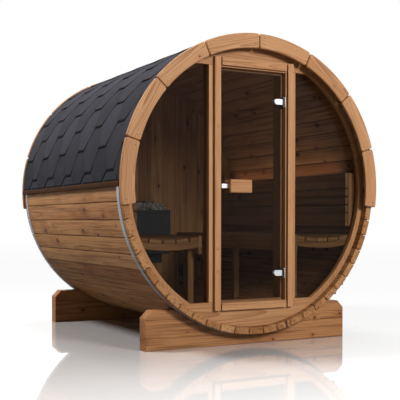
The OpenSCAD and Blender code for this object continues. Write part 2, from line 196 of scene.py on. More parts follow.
class Value:
    def __init__(self, finish, socket):
        self.finish = finish
        self.socket = socket

    def math(self, operation, *others):
        return self.finish.node("Math", {"operation": operation}, [self, *others])

    def __add__(self, other):
        return self.math("ADD", other)

    def __sub__(self, other):
        return self.math("SUBTRACT", other)

    def __mul__(self, other):
        return self.math("MULTIPLY", other)

    def __truediv__(self, other):
        return self.math("DIVIDE", other)

    def __pow__(self, other):
        return self.math("POWER", other)

    def __rsub__(self, other):
        return self.finish.node("Math", {"operation": "SUBTRACT"}, [other, self])

    __radd__ = __add__
    __rmul__ = __mul__

    def wave(self):
        return self.math("FRACT")

    def between(self, low, high):  # 0 at low, 1 at high, eased
        return self.finish.node("MapRange", {"interpolation_type": "SMOOTHSTEP"},
                                {"Value": self, "From Min": low, "From Max": high})


class Finish:
    def __init__(self, name, kind="materials"):
        self.owner = getattr(bpy.data, kind).new(name)
        self.owner.use_nodes = True
        self.tree = self.owner.node_tree

    def node(self, kind, settings=None, inputs=None, output=0):
        # settings come first, then the values or links of the sockets
        made = self.tree.nodes.new("ShaderNode" + kind)
        for key, value in (settings or {}).items():
            setattr(made, key, value)
        pairs = inputs.items() if isinstance(inputs, dict) else enumerate(inputs or [])
        for key, value in pairs:
            self.put(made.inputs[key], value)
        return Value(self, made.outputs[output])

    def put(self, socket, value):
        if isinstance(value, Value):
            self.tree.links.new(value.socket, socket)
        else:
            socket.default_value = value

    def set(self, **inputs):
        names = {"colour": "Base Color", "roughness": "Roughness", "metallic": "Metallic",
                 "normal": "Normal", "alpha": "Alpha", "coat": "Coat Weight",
                 "coatRoughness": "Coat Roughness", "specular": "Specular IOR Level"}
        surface = self.tree.nodes["Principled BSDF"]
        for key, value in inputs.items():
            self.put(surface.inputs[names[key]], value)
        return self.owner

    def attribute(self, name, output="Vector"):
        return self.node("Attribute", {"attribute_name": name}, output=output)

    def place(self):
        return self.node("TexCoord", output="Object")

    def scaled(self, vector, by):
        return self.node("VectorMath", {"operation": "MULTIPLY"}, [vector, by])

    def parts(self, vector):
        made = self.node("SeparateXYZ", inputs=[vector])
        return [Value(self, made.socket.node.outputs[k]) for k in range(3)]

    def joined(self, x, y, z):
        return self.node("CombineXYZ", inputs=[x, y, z])

    def noise(self, vector, scale=1.0, detail=2.0, roughness=0.5):
        return self.node("TexNoise", inputs={"Vector": vector, "Scale": scale, "Detail": detail,
                                             "Roughness": roughness})

    def mix(self, factor, first, second, blend="MIX"):
        return self.node("Mix", {"data_type": "RGBA", "blend_type": blend},
                         {0: factor, 6: first, 7: second}, output=2)

    def bump(self, height, distance, strength=1.0):
        return self.node("Bump", inputs={"Height": height, "Distance": distance,
                                         "Strength": strength})


def colour(red, green, blue):  # from 0-255 display values to linear light
    values = np.array([red, green, blue]) / 255
    linear = np.where(values < 0.04045, values / 12.92, ((values + 0.055) / 1.055) ** 2.4)
    return (*linear.tolist(), 1.0)


# How the wood's patterns are stretched along, across and through the fibres, and how far apart
# two boards lie in them.
grainLook = {"wobble": (1.3, 9, 9), "sway": (0.8, 0.6, 0.6), "fibres": (5, 420, 420),
             "streaks": (1.6, 60, 60), "stain": (2.2, 5, 5), "apart": (37, 11),
             "boardTint": colour(206, 186, 166), "fibreTint": colour(170, 140, 115),
             "haloTint": colour(190, 140, 100)}


def woodFinish(name, look):
    # Growth rings are shells round a line near the board's heart, wavy and pushed aside by
    # knots. Fine fibres, a tone for each board and broad stains go on top.
    wood = Finish(name)
    grain = wood.attribute("grain")
    tone = wood.attribute("tone", "Fac")
    x, y, z = wood.parts(grain)
    beside, behind = grainLook["apart"]
    spread = wood.joined(x, y + tone * beside, z + tone * behind)
    wobble = wood.noise(wood.scaled(spread, grainLook["wobble"]), detail=3) - 0.5
    sway = wood.noise(wood.scaled(spread, grainLook["sway"]), detail=1) - 0.5

    # knots: one chance in each cell of a stretched pattern
    cell = wood.joined(x * look["knotsAlong"], (y + tone * beside) * look["knotsAcross"], 0.0)
    knots = wood.node("TexVoronoi", {"voronoi_dimensions": "2D"}, {"Vector": cell, "Scale": 1.0})
    parts = knots.socket.node.outputs
    atX, atY, _ = wood.parts(Value(wood, parts["Position"]))
    chance, size, _ = wood.parts(Value(wood, parts["Color"]))
    cellX, cellY, _ = wood.parts(cell)
    awayX = (cellX - atX) / look["knotsAlong"]
    awayY = (cellY - atY) / look["knotsAcross"]
    away = (awayX * awayX * 0.5 + awayY * awayY).math("SQRT")
    radius = size * look["knotSize"] + look["knotSize"] * 0.45
    present = chance.between(look["knotRarity"], look["knotRarity"] + 0.02)
    near = (away / radius * -0.55).math("EXPONENT") * present
    knot = (away / radius + wobble * 0.8).between(1.15, 0.55) * present

    ringY = y + wobble * 0.012 + near * 0.012
    ringZ = z + sway * look["sway"] + wobble * 0.004
    rings = (ringY * ringY + ringZ * ringZ).math("SQRT") / look["ring"] + near * 1.6
    line = rings.wave() ** 2.2
    fibres = wood.noise(wood.scaled(spread, grainLook["fibres"]), detail=2)
    streaks = wood.noise(wood.scaled(spread, grainLook["streaks"]), detail=3)
    stain = wood.noise(wood.scaled(spread, grainLook["stain"]), detail=3, roughness=0.6)

    base = wood.mix(line * look["contrast"], look["light"], look["dark"])
    base = wood.mix(streaks.between(0.45, 0.75) * look["streak"], base, look["dark"])
    base = wood.mix(stain.between(0.5, 0.72) * look["stain"], base, look["red"])
    shade = (tone * 1.7).wave()
    base = wood.mix(shade * look["boardVariation"], base, grainLook["boardTint"], "MULTIPLY")
    base = wood.mix(fibres.between(0.6, 0.35) * 0.3, base, grainLook["fibreTint"], "MULTIPLY")
    heart = ((away / 0.0022).wave() * 0.5 + 0.5) * knot
    base = wood.mix(near * 0.6, base, grainLook["haloTint"], "MULTIPLY")
    base = wood.mix(knot * 0.95, base, look["knot"])
    height = fibres * 0.25 + line * 0.35 - heart * 0.5
    return wood.set(colour=base, roughness=look["roughness"] + line * 0.08 - knot * 0.1,
                    normal=wood.bump(height, 0.0012, 0.35), specular=look["specular"])


paleWood = {
    "light": colour(206, 156, 110), "dark": colour(146, 94, 56), "red": colour(186, 130, 86),
    "knot": colour(58, 34, 20), "ring": 0.0085, "contrast": 0.7, "streak": 0.4, "stain": 0.4,
    "boardVariation": 0.5, "roughness": 0.55, "knotsAlong": 2.6, "knotsAcross": 8.0,
    "knotSize": 0.0055, "knotRarity": 0.6, "sway": 0.1, "specular": 0.18,
}
flankWood = dict(paleWood, light=colour(200, 150, 100), dark=colour(118, 74, 40),
                 red=colour(142, 92, 54), ring=0.0085, contrast=0.42, streak=0.85, stain=0.6,
                 sway=0.05, boardVariation=0.9, knotsAlong=3.45, knotsAcross=5.5,
                 knotSize=0.015, knotRarity=0.36)
cradleWood = dict(flankWood, light=colour(197, 143, 95), dark=colour(108, 68, 38), ring=0.012,
                  knotsAlong=3.0, knotsAcross=8.0, knotSize=0.009, stain=0.6)
wallWood = dict(paleWood, light=colour(190, 142, 98), dark=colour(142, 95, 57), ring=0.013,
                contrast=0.75, knotRarity=0.9)
innerWood = dict(flankWood, light=colour(192, 146, 92), dark=colour(116, 79, 44),
                 knotsAlong=2.6, knotsAcross=7.0, knotSize=0.011, knotRarity=0.3)
# the eave battens' wood, far darker than the flank's: painted shade for the shadow under the shingles'
# overhang
eavePaintedShadeLook = dict(flankWood, light=colour(78, 50, 31), dark=colour(46, 29, 17),
                red=colour(62, 39, 23), boardVariation=0.3, knotRarity=0.85, specular=0.03)

trimFinish = woodFinish("trimWood", paleWood)
frameFinish = woodFinish("frameWood", dict(paleWood, ring=0.005, contrast=0.42, knotRarity=0.8))
staveFinish = woodFinish("staveWood", flankWood)
cradleFinish = woodFinish("cradleWood", cradleWood)
wallFinish = woodFinish("wallWood", wallWood)
innerFinish = woodFinish("innerWood", innerWood)
eaveFinish = woodFinish("eaveWood", eavePaintedShadeLook)
print("wood finishes made")


# edge: the black of the bitumen cut edges, also used for the painted shadow line along the tabs
feltLook = {"low": colour(40, 40, 45), "high": colour(54, 54, 60), "bloom": colour(60, 60, 66),
            "pale": colour(92, 92, 99), "deep": colour(26, 26, 29), "edge": colour(10, 10, 11),
            "roughness": 0.9, "specular": 0.12}


def shingleFinish():
    # Dark mineral granules with a shade for each course. A tone of zero marks the black bitumen of the cut
    # edges, and a painted shadow line on the top face along the lower edges that face the front.
    felt = Finish("shingleFelt")
    place = felt.place()
    tone = felt.attribute("tone", "Fac")
    grit = felt.noise(place, scale=420, detail=2, roughness=0.7)
    bloom = felt.noise(place, scale=5, detail=4, roughness=0.6)
    base = felt.mix(tone.between(0.5, 1.0), feltLook["low"], feltLook["high"])
    base = felt.mix(bloom.between(0.45, 0.7) * 0.3, base, feltLook["bloom"])
    base = felt.mix(grit.between(0.5, 0.75) * 0.5, base, feltLook["pale"])
    base = felt.mix(grit.between(0.5, 0.28) * 0.6, base, feltLook["deep"])
    # black where the tone is zero: the bitumen edges and the painted shadow line beside them
    base = felt.mix(tone.between(0.45, 0.1), base, feltLook["edge"])
    return felt.set(colour=base, roughness=feltLook["roughness"] + grit * 0.1,
                    normal=felt.bump(grit, 0.0015, 0.5), specular=feltLook["specular"])


wearLook = {"tarnish": colour(120, 122, 126), "dust": colour(70, 70, 70), "paintGloss": 0.35}


def metalFinish(name, base, rough, brushed, speck):
    # fine brushed scratches and slow patches of tarnish
    metal = Finish(name)
    place = metal.place()
    scratch = metal.noise(metal.scaled(place, brushed), detail=2)
    patch = metal.noise(place, scale=14, detail=3)
    tint = metal.mix(patch.between(0.4, 0.7) * speck, base, wearLook["tarnish"])
    return metal.set(colour=tint, metallic=1.0, roughness=rough + scratch * 0.14 + patch * 0.06,
                     normal=metal.bump(scratch, 0.0003, 0.2))


def coatedFinish(name, base, rough, scale):
    # painted or moulded surface with a fine orange-peel texture
    coat = Finish(name)
    place = coat.place()
    peel = coat.noise(place, scale=scale, detail=2)
    dust = coat.noise(place, scale=9, detail=3)
    tint = coat.mix(dust.between(0.45, 0.75) * 0.25, base, wearLook["dust"])
    return coat.set(colour=tint, roughness=rough + dust * 0.12, normal=coat.bump(peel, 0.0002, 0.15),
                    specular=wearLook["paintGloss"])


stoneLook = {"dark": colour(122, 119, 113), "pale": colour(178, 175, 166),
             "fleck": colour(236, 232, 224), "hollow": colour(60, 58, 55), "roughness": 0.85}


def stoneFinish():
    # grey rock with pale flecks and dark hollows
    stone = Finish("heaterStone")
    place = stone.place()
    tone = stone.attribute("tone", "Fac")
    fleck = stone.noise(place, scale=90, detail=4, roughness=0.7)
    broad = stone.noise(place, scale=18, detail=3)
    base = stone.mix(tone, stoneLook["dark"], stoneLook["pale"])
    base = stone.mix(fleck.between(0.5, 0.8), base, stoneLook["fleck"])
    base = stone.mix(broad.between(0.55, 0.3) * 0.6, base, stoneLook["hollow"])
    return stone.set(colour=base, roughness=stoneLook["roughness"], normal=stone.bump(fleck, 0.002, 0.6))


def glassFinish(name, look):
    # tinted pane: the share that isn't seen through is near black, and its face is glossy
    glass = Finish(name)
    smear = glass.noise(glass.place(), scale=3.5, detail=3)
    return glass.set(colour=look["tint"], alpha=look["density"], specular=look["specular"],
                     roughness=look["roughness"] + smear.between(0.4, 0.7) * 0.01)


shingles = shingleFinish()
bandSteel = metalFinish("bandSteel", colour(172, 178, 186), 0.34, (60, 900, 60), 0.4)
satinMetal = metalFinish("satinMetal", colour(236, 236, 238), 0.16, (40, 40, 700), 0.1)
blackSteel = coatedFinish("blackSteel", colour(30, 31, 33), 0.42, 600)
heaterSteel = coatedFinish("heaterSteel", colour(40, 42, 44), 0.5, 500)
ventPlastic = coatedFinish("ventPlastic", colour(26, 26, 27), 0.55, 300)
stones = stoneFinish()
glassLook = {"tint": colour(9, 7, 6), "density": 0.26, "specular": 0.2, "roughness": 0.015}
glass = glassFinish("tintedGlass", glassLook)
print("other finishes made")


# Barrel: staves with a bead on one edge and a cove on the other, so that they nest.
staveLook = {"bead": 0.006, "eased": 0.0035, "joint": 0.005, "endEase": 0.004}


def staveOutline():
    # half width grows with the radius b; both edges bulge the same way by a parabola
    thickness = staveOuter - staveInner
    b = np.linspace(0, 1, 9)
    radial = staveInner + b * thickness
    half = radial * math.tan(staveStep / 2) - staveLook["joint"] / 2
    bulge = staveLook["bead"] * (1 - (2 * b - 1) ** 2)
    eased = staveLook["eased"] * (np.abs(2 * b - 1) > 0.99)
    right = np.stack([half + bulge - eased, radial], -1)
    left = np.stack([-half + bulge + eased, radial], -1)[::-1]
    low, high = staveInner + staveLook["eased"], staveOuter - staveLook["eased"]
    rightIn, rightOut = [[right[1, 0], low]], [[right[-2, 0], high]]
    leftOut, leftIn = [[left[1, 0], high]], [[left[-2, 0], low]]
    return np.concatenate([right[:1], rightIn, right[1:-1], rightOut, right[-1:],
                           left[:1], leftOut, left[1:-1], leftIn, left[-1:]])


def layStaves(name, node, first, last):
    heap = pile()
    shape = board(staveOutline(), (staveFront, staveRear), staveLook["endEase"])
    for k in range(first, last + 1):
        radial, across = spokes(math.pi + k * staveStep)     # counted from the lowest stave
        lay(heap, shape, [across, radial, yAxis], (0, 0, axisZ), grain=(2, 0, 1))
    build(name, heap, staveFinish, "stave_wood", node)


staveGroups = [
    ("stavesFloor", "floor_staves", -3, 3), ("stavesLowerLeft", "lower_staves_left", 4, 9),
    ("stavesLowerRight", "lower_staves_right", -9, -4), ("stavesSideLeft", "side_staves_left", 10, 15),
    ("stavesSideRight", "side_staves_right", -15, -10), ("stavesUpperLeft", "upper_staves_left", 16, 21),
    ("stavesUpperRight", "upper_staves_right", -21, -16), ("stavesRoof", "roof_staves", 22, 32),
]
for group in staveGroups:
    layStaves(*group)
print("staves laid:", staveCount)


# Trim rings: boards sawn to the curve, with rounded corners.
trimLook = {"boards": 8, "end": math.radians(98), "width": 0.1, "joint": 0.006,
            "corner": 0.014, "ease": 0.005, "proud": 0.0006}


def curvedBoard(inner, outer, half, corner, steps=12):
    # ring sector from -half to +half about the b axis, its four corners rounded by arcs
    rim = np.linspace(half - corner / outer, -half + corner / outer, steps)
    bore = np.linspace(-half + corner / inner, half - corner / inner, steps)

    def at(angle, radius):
        return np.stack([radius * np.sin(angle), radius * np.cos(angle)], -1)

    turn = np.linspace(0, math.pi / 2, 5)[1:-1]
    soft = corner * (1 - np.sin(turn))
    firm = corner * (1 - np.cos(turn))
    outLeft = at(-half + soft / outer, outer - firm)
    inLeft = at(-half + firm / inner, inner + soft)
    outRight = at(half - firm / outer, outer - soft)
    inRight = at(half - soft / inner, inner + firm)
    ends = np.array([outer - corner, inner + corner])
    leftEnd, rightEnd = at(np.full(2, -half), ends), at(np.full(2, half), ends[::-1])
    return np.concatenate([at(rim, outer), outLeft, leftEnd, inLeft,
                           at(bore, inner), inRight, rightEnd, outRight])


def layTrim(name, node):
    low, high = span(node)
    outer = (high[0] - low[0]) / 2 + 0.0001
    inner = outer - trimLook["width"]
    step = 2 * trimLook["end"] / trimLook["boards"]
    half = step / 2 - trimLook["joint"] / 2 / outer
    ends = (low[1] + trimLook["proud"], high[1] - trimLook["proud"])
    shape = board(curvedBoard(inner, outer, half, trimLook["corner"]), ends, trimLook["ease"])
    heap = pile()
    for k in range(trimLook["boards"]):
        radial, across = spokes(-trimLook["end"] + (k + 0.5) * step)
        lay(heap, shape, [across, radial, yAxis], (0, 0, axisZ))
    build(name, heap, trimFinish, "trim_wood", node)


layTrim("trimFront", "trim_front")
layTrim("trimRear", "trim_rear")


def head(heap, at, radius, proud, facing=(0, -1, 0), sides=14):
    # round screw head or plug: a low turned button that stands on the point given and faces outwards
    facing = np.array(facing, float)
    beside = np.cross(facing, zAxis)
    beside /= np.linalg.norm(beside)
    profile = [(0.0002, proud * 0.7), (radius * 0.3, proud * 0.7), (radius * 0.4, proud),
               (radius * 0.9, proud), (radius, proud * 0.5), (radius, -0.001), (0.0002, -0.001)]
    lay(heap, turned(profile, sides), [beside, np.cross(facing, beside), facing], at)


screwLook = {"inset": 0.034, "depths": (0.028, 0.068), "stray": 0.006, "radius": 0.0034,
             "height": 0.8, "hidden": 0.45}   # hidden: the share of screws that don't show


def layTrimScrews():
    look = screwLook
    heap = pile()
    low, high = span("trim_front")
    outer = (high[0] - low[0]) / 2
    step = 2 * trimLook["end"] / trimLook["boards"]
    for k in range(trimLook["boards"]):
        for end in (-1, 1):
            turn = -trimLook["end"] + (k + 0.5) * step + end * (step / 2 - look["inset"])
            for depth in look["depths"]:
                if seeds.uniform() < look["hidden"]:
                    continue
                radius = outer - depth - seeds.uniform(0, look["stray"])
                at = (radius * math.sin(turn), low[1] + trimLook["proud"],
                      axisZ + radius * math.cos(turn))
                head(heap, at, look["radius"], trimLook["proud"] * look["height"])
    build("trimScrews", heap, blackSteel, "black_steel")


layTrimScrews()
print("trim rings laid")


# Shingles: courses of hexagonal tabs, each course lapping over the one below.
# line: how far up from a tab's lower edge the painted shadow line reaches
roofLook = {"pitch": 0.388, "exposure": 0.1645, "flat": 0.113, "first": 0.073, "lap": 0.03,
            "thick": 0.0035, "low": 0.0006, "lift": 0.0068, "rows": 10, "line": 0.012,
            "shift": -0.0585, "bed": 0.008, "short": 0.0015, "least": 0.01, "strips": 8}


def tabEdge(y):
    # how far the lower edge is cut back at y: 0 along a tab's flat, 1 along the notch's flat
    place = np.abs((y / roofLook["pitch"] + 0.5) % 1 - 0.5) * roofLook["pitch"]
    slope = roofLook["pitch"] / 2 - roofLook["flat"]
    return np.clip((place - roofLook["flat"] / 2) / slope, 0, 1)


def layShingles(name, node, side):
    low, high = span(node)
    outer = high[0] if side > 0 else -low[0]
    look = roofLook
    base = outer - look["bed"]
    foot = math.asin((low[2] - axisZ) / outer)   # the eave edge, above the level of the axis
    ends = (low[1] + look["short"], high[1] - look["short"])
    run = base * (math.pi / 2 - foot)
    heap = pile()
    for row in range(-1, look["rows"] + 1):
        offset = 0.5 * look["pitch"] * ((row + 1) % 2) + look["shift"]
        edge = look["first"] + (row - 1) * look["exposure"]
        turns = np.arange(-8, 9) * look["pitch"] + offset
        breaks = [turns + s * w for s in (-1, 1)
                  for w in (look["flat"] / 2, look["pitch"] / 2 - look["flat"] / 2)]
        y = np.unique(np.round(np.clip(np.concatenate([*breaks, ends]), *ends), 5))
        start = np.maximum(edge + tabEdge(y - offset) * look["exposure"], 0)
        stop = np.minimum(edge + 2 * look["exposure"] + look["lap"], run)
        if stop - start.max() < look["least"]:
            continue
        line = look["line"] / (stop - start[:, None])
        part = np.concatenate([np.zeros((len(y), 1)), line, line * 1.15,
                               np.tile(np.linspace(0.2, 1, look["strips"]), (len(y), 1))], 1)
        s = start[:, None] + (stop - start[:, None]) * part
        rise = look["lift"] * (1 - np.clip((s - edge) / (2 * look["exposure"]), 0, 1))
        top = base + look["low"] + rise
        ring = np.concatenate([np.stack([s, top], -1),
                               np.stack([s, top - look["thick"]], -1)[:, ::-1]], 1)
        angle = math.pi / 2 - foot - ring[..., 0] / base
        points = np.stack([side * ring[..., 1] * np.sin(angle), np.broadcast_to(y[:, None], angle.shape),
                           axisZ + ring[..., 1] * np.cos(angle)], -1)
        # the black line, bitumen on the cut edge and painted shadow on the face beside it, follows each tab's
        # flat and the slope on its front side
        half, flat = look["pitch"] / 2, look["flat"] / 2
        forward = (y - offset + half) % look["pitch"] - half
        shadowLineMask = (forward > flat - half - 0.001) & (forward < flat + 0.001)
        tones = np.full(angle.shape, 0.5 + 0.5 * ((row * 0.37) % 1))
        tones[:, :2] = np.where(shadowLineMask[:, None], 0, tones[:, :2])
        tones[:, -2:] = 0
        lay(heap, tube(points), np.eye(3), tone=tones.ravel())
    build(name, heap, shingles, "shingle", node, sharp=30)


for side, word in sides:
    layShingles("shingles" + word.title(), "roof_shingles_" + word, side)

# the battens' darkened wood is painted shade from the overhanging shingles
eaveLook = {"inset": (0.0012, 0.001, 0), "radius": 0.004}
for side, word in sides:
    low, high = span("eave_" + word)
    batten = pile()
    along("y", batten, low + eaveLook["inset"], high - eaveLook["inset"], eaveLook["radius"])
    build("eave" + word.title(), batten, eaveFinish, "dark_wood", "eave_" + word)
print("roof laid")


# Steel bands: thin hoops with rounded edges, and the bolted tensioners that pull them tight.
bandLook = {"thick": 0.0016, "shoulder": (0.0004, 0.0006)}
tensionLook = {"angle": math.radians(135), "reach": 0.045, "lug": (0.024, 0.012), "bolt": 0.004,
               "height": 0.015, "over": 0.02, "clear": 0.0004, "round": 0.004, "lugEase": 0.0012,
               "nut": (0.0075, 0.008), "nutAway": 0.006, "ease": 0.0008}


def hoop(name, node, steps=216):
    low, high = span(node)
    outer = (high[0] - low[0]) / 2
    inner = outer - bandLook["thick"]
    down, back = bandLook["shoulder"]
    profile = [(inner, low[1]), (outer - down, low[1]), (outer, low[1] + back),
               (outer, high[1] - back), (outer - down, high[1]), (inner, high[1])]
    turn = np.linspace(0, 2 * math.pi, steps, endpoint=False)
    radius, y = np.array(profile).T
    points = np.stack([radius * np.sin(turn)[:, None], np.broadcast_to(y, (steps, len(y))),
                       axisZ + radius * np.cos(turn)[:, None]], -1)
    index = np.arange(steps * len(y)).reshape(steps, len(y))
    heap = pile()
    lay(heap, (points.reshape(-1, 3), squares(index, np.roll(index, -1, 0))), np.eye(3))
    build(name, heap, bandSteel, "band_steel", node, sharp=60)


hoop("bandFront", "band_front")
hoop("bandRear", "band_rear")


def layTensioners():
    heap = pile()
    look = tensionLook
    reach = look["reach"]
    radial, across = spokes(look["angle"])
    for band in ("band_front", "band_rear"):
        low, high = span(band)
        half = (high[1] - low[1]) / 2
        centre = np.array([0, (low[1] + high[1]) / 2, axisZ])
        bolt = centre + radial * (bandRadius + look["height"])
        for way in (-1, 1):
            out, beside = spokes(look["angle"] + way * math.asin(reach / bandRadius))
            lug = roundedBox((bandRadius + look["clear"], -half), (bandRadius + look["lug"][0], half),
                             look["round"])
            lay(heap, board(lug, (-look["lug"][1] / 2, look["lug"][1] / 2), look["lugEase"]),
                [out, yAxis, beside], centre)
            nut = arc((0, 0), look["nut"][0], 0, 2 * math.pi * 5 / 6, 6)
            lay(heap, board(nut, (0, look["nut"][1]), look["ease"]),
                [radial, yAxis, way * across], bolt + way * across * (reach + look["nutAway"]))
        rod = arc((0, 0), look["bolt"], 0, 2 * math.pi * 11 / 12, 12)
        lay(heap, board(rod, (-reach - look["over"], reach + look["over"]), look["ease"]),
            [radial, yAxis, across], bolt)
    build("tensioners", heap, blackSteel, "black_steel", "band_tensioners")


layTensioners()
print("bands on")


# Cradles: planks on edge, cut to the barrel's round.
cradleLook = {"chamfer": 0.05, "ease": 0.004, "gap": 0.0017}   # gap: to the bands' outer side


def layCradle(name, node):
    low, high = span(node)
    half, top = high[0], high[2]
    radius = bandRadius - cradleLook["gap"]
    meet = math.sqrt(radius ** 2 - (axisZ - top) ** 2)
    start = math.atan2(top - axisZ, meet)
    curve = arc((0, axisZ), radius, start, -math.pi - start, 60)
    cut = cradleLook["chamfer"]
    outline = np.concatenate([[[-half, 0], [half, 0], [half, top - cut], [half - cut, top]], curve,
                              [[-half + cut, top], [-half, top - cut]]])
    heap = pile()
    upright(heap, outline, (low[1], high[1]), cradleLook["ease"])
    build(name, heap, cradleFinish, "cradle_wood", node)


layCradle("cradleFront", "cradle_front")
layCradle("cradleRear", "cradle_rear")
print("cradles set")


# Front wall: solid panels above and below, curved rims, straight posts.
def chordZ(radius, x):  # height of a circle's upper side above the axis at x
    return np.sqrt(np.maximum(radius ** 2 - np.asarray(x, float) ** 2, 0))


wallLook = {"rim": 0.04, "panelEase": 0.0015, "rimEase": 0.002, "postRound": 0.0025}


def layWall():
    look = wallLook
    low, high = span("head_panel")
    ends = (low[1], high[1])
    radius = liningRadius
    inner = span("post_right")[0][0] - seat
    panels = (("headPanel", "head_panel", low[2], span("door_head")[1][2] + seat, 1),
              ("sillPanel", "sill_panel", span("sill_panel")[1][2], span("door_sill")[0][2] - seat, -1))
    for name, node, edge, notch, way in panels:   # a segment of the circle, notched for the door
        turn = math.acos(way * (edge - axisZ) / radius)
        crown = arc((0, axisZ), radius, way * math.pi / 2 - turn, way * math.pi / 2 + turn, 60)
        x = way * inner
        outline = np.concatenate([crown, [[-x, edge], [-x, notch], [x, notch], [x, edge]]])
        heap = pile()
        upright(heap, outline, ends, look["panelEase"])
        build(name, heap, wallFinish, "wall_wood", node)

    for side, word in sides:
        rimLow, rimHigh = span("rim_" + word)
        bore = radius - look["rim"]
        base, top = rimLow[2] - axisZ, rimHigh[2] - axisZ
        outer = arc((0, axisZ), radius, math.asin(base / radius), math.asin(top / radius), 48)
        inside = arc((0, axisZ), bore, math.asin(top / bore), math.asin(base / bore), 48)
        heap = pile()
        upright(heap, np.concatenate([outer, inside]) * (side, 1), ends, look["rimEase"], grain=(1, 0, 2))
        build("rim" + word.title(), heap, wallFinish, "wall_wood", "rim_" + word)
        heap = pile()
        along("z", heap, *span("post_" + word), radius=look["postRound"])
        build("post" + word.title(), heap, frameFinish, "wall_wood", "post_" + word)


layWall()
print("front wall built")


# Door frame: a casing that stands proud, set back from the opening, with a shadow groove
# between it and the inner jamb.
frameLook = {"casing": 0.005, "groove": 0.014, "grooveDepth": 0.012, "step": 0.01, "ease": 0.0015}


def stepped(width, depth, look):
    # section of a frame member: a is 0 at the opening, b is 0 at the front
    first, last = look["casing"], look["casing"] + look["groove"]
    step, bottom = look["step"], look["step"] + look["grooveDepth"]
    return np.array([[step, 0], [width, 0], [width, depth], [0, depth], [0, last],
                     [bottom, last], [bottom, first], [step, first]])


def layDoorFrame():
    look = frameLook
    for side, word in sides:
        low, high = span("door_jamb_" + word)
        section = stepped(high[0] - low[0], high[1] - low[1], look)
        heap = pile()
        start = low[0] if side > 0 else high[0]
        lay(heap, board(section, (low[2], high[2]), look["ease"]),
            [xAxis * side, yAxis, zAxis], (start, low[1], 0), grain=(2, 0, 1))
        build("doorJamb" + word.title(), heap, frameFinish, "frame_wood", "door_jamb_" + word)
    for name, node, way in (("doorHead", "door_head", 1), ("doorSill", "door_sill", -1)):
        low, high = span(node)
        tall, deep = high[2] - low[2], high[1] - low[1]
        section = stepped(tall, deep, look)
        if way < 0:     # the sill is a plain board
            section = np.array([[0, 0], [tall, 0], [tall, deep], [0, deep]])
        heap = pile()
        lay(heap, board(section, (low[0], high[0]), look["ease"]),
            [zAxis * way, yAxis, xAxis], (0, low[1], low[2] if way > 0 else high[2]), grain=(2, 0, 1))
        build(name, heap, frameFinish, "frame_wood", node)


layDoorFrame()


stopLook = {"width": 0.015, "radius": 0.002}


def layStops():
    low, high = span("door_stops")
    width, radius = stopLook["width"], stopLook["radius"]
    heap = pile()
    along("z", heap, low, (low[0] + width, high[1], high[2]), radius)
    along("z", heap, (high[0] - width, low[1], low[2]), high, radius)
    for base in (high[2] - width, low[2]):
        along("x", heap, (low[0] + width, low[1], base), (high[0] - width, high[1], base + width), radius)
    build("doorStops", heap, frameFinish, "frame_wood", "door_stops")


layStops()


fixingLook = {"plugs": (1.642, 1.484, 0.663, 0.506), "plug": (0.0078, 0.0007), "plugOut": 0.0003,
              "ring": (0.0095, 0.0004), "plugSides": 20, "stileNail": (0.0028, 0.0006),
              "stile": (0.34, 1.9, 0.13), "stray": (-0.014, -0.01), "railNail": (0.0026, 0.0006),
              "rail": (-0.24, 0.25, 0.08), "headUp": 0.022, "sillDown": 0.014}


def layFrameScrews():
    # plugs over the fixings of the left stile, and finish nails along the other rails
    look = fixingLook
    plugs, nails = pile(), pile()
    low, high = span("door_jamb_left")
    front = low[1]
    middle = (low[0] + high[0]) / 2 - frameLook["step"] / 2
    for z in look["plugs"]:
        head(nails, (middle, front, z), *look["ring"], sides=look["plugSides"])
        head(plugs, (middle, front - look["plugOut"], z), *look["plug"], sides=look["plugSides"])
    for z in np.arange(*look["stile"]):
        head(nails, (-middle + seeds.uniform(*look["stray"]), front, z), *look["stileNail"])
    upper = span("door_head")[0][2] + look["headUp"]
    lower = span("door_sill")[1][2] - look["sillDown"]
    for x in np.arange(*look["rail"]):
        for z in (upper, lower):
            head(nails, (x, front, z), *look["railNail"])
    build("framePlugs", plugs, frameFinish, "frame_wood")
    build("frameNails", nails, blackSteel, "black_steel")


layFrameScrews()
print("door frame built")

for pane in ("window_left", "window_right", "door_glass"):
    nodes[pane].data.materials.clear()
    nodes[pane].data.materials.append(glass)


# Hinges: a plate with two lugs on the frame, and a rounded body that clamps the glass.
hingeLook = {"body": 0.044, "reach": 0.073, "knuckle": 0.009, "pin": 0.003, "plate": 0.005,
             "plateSpan": (0.012, 0.007), "lug": 0.0155, "lugGap": 0.0005, "ease": 0.0012,
             "bodyEase": 0.003, "bodyBack": 0.004, "disc": 0.006, "discIn": 0.002, "discEase": 0.0015}


